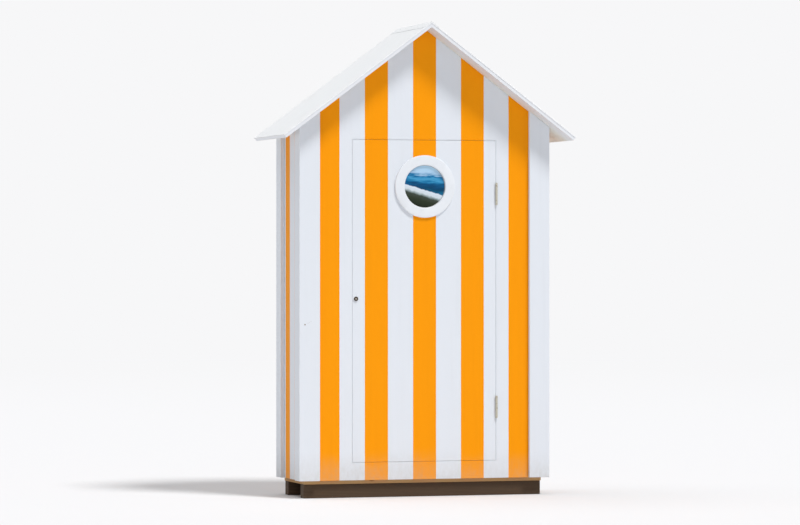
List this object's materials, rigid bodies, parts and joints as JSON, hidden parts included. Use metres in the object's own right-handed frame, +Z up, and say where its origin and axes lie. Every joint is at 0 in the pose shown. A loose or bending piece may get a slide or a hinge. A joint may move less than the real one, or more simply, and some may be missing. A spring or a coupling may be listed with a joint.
{
  "type": "beach hut",
  "caption": "Narrow timber beach hut with painted stripes, pitched roof, outward-opening door and round window.",
  "frame": {"origin": "on the ground, under the middle of the roof's outline", "axes": "+Z up, -Y out of the front with the door, +X to the right as seen from the front"},
  "size_m": [1.746, 0.66, 2.7116],
  "materials": {
    "striped_paint": "smooth satin paint in orange and white stripes",
    "white_paint": "smooth satin white paint",
    "roof_board_paint": "satin white paint",
    "roof_sheet": "smooth white roof sheet",
    "bare_timber": "sawn softwood",
    "dark_timber": "treated sawn timber",
    "steel": "weathered steel",
    "window_glass": "tinted reflective glass"
  },
  "bodies": {
    "hut": {"bearers": "dark_timber", "floor_joists": "bare_timber", "floor_rims": "bare_timber", "floor_boards": "bare_timber", "front_left_panel": "striped_paint", "front_right_panel": "striped_paint", "front_gable_panel": "striped_paint", "front_sill_panel": "striped_paint", "left_panel": "striped_paint", "right_panel": "striped_paint", "back_panel": "striped_paint", "front_left_corner": "white_paint", "front_right_corner": "white_paint", "back_left_corner": "white_paint", "back_right_corner": "white_paint", "corner_posts": "bare_timber", "door_posts": "bare_timber", "door_header": "bare_timber", "studs": "bare_timber", "rafters": "bare_timber", "ridge_beam": "bare_timber", "side_rails": "bare_timber", "back_rails": "bare_timber", "door_stops": "white_paint", "roof_left_board": "roof_board_paint", "roof_right_board": "roof_board_paint", "roof_left_sheet": "roof_sheet", "roof_right_sheet": "roof_sheet", "ridge_strip": "roof_sheet", "lock_keep": "steel", "upper_hinge_wall_leaf": "steel", "lower_hinge_wall_leaf": "steel", "hinge_pins": "steel"},
    "door": {"door_panel": "striped_paint", "door_stiles": "white_paint", "door_rails": "white_paint", "door_brace": "white_paint", "porthole_outer_ring": "white_paint", "porthole_inner_ring": "white_paint", "porthole_glass": "window_glass", "lock_cylinder": "steel", "lock_rosette": "steel", "lock_case": "steel", "upper_hinge_door_leaf": "steel", "lower_hinge_door_leaf": "steel"}
  },
  "joints": [
    {"name": "door_swing", "type": "hinge", "parent": "hut", "child": "door", "pos_m": [0.432, -0.197, 1.1], "axis": [0, 0, 1], "range_deg": [0, 150]}
  ]
}
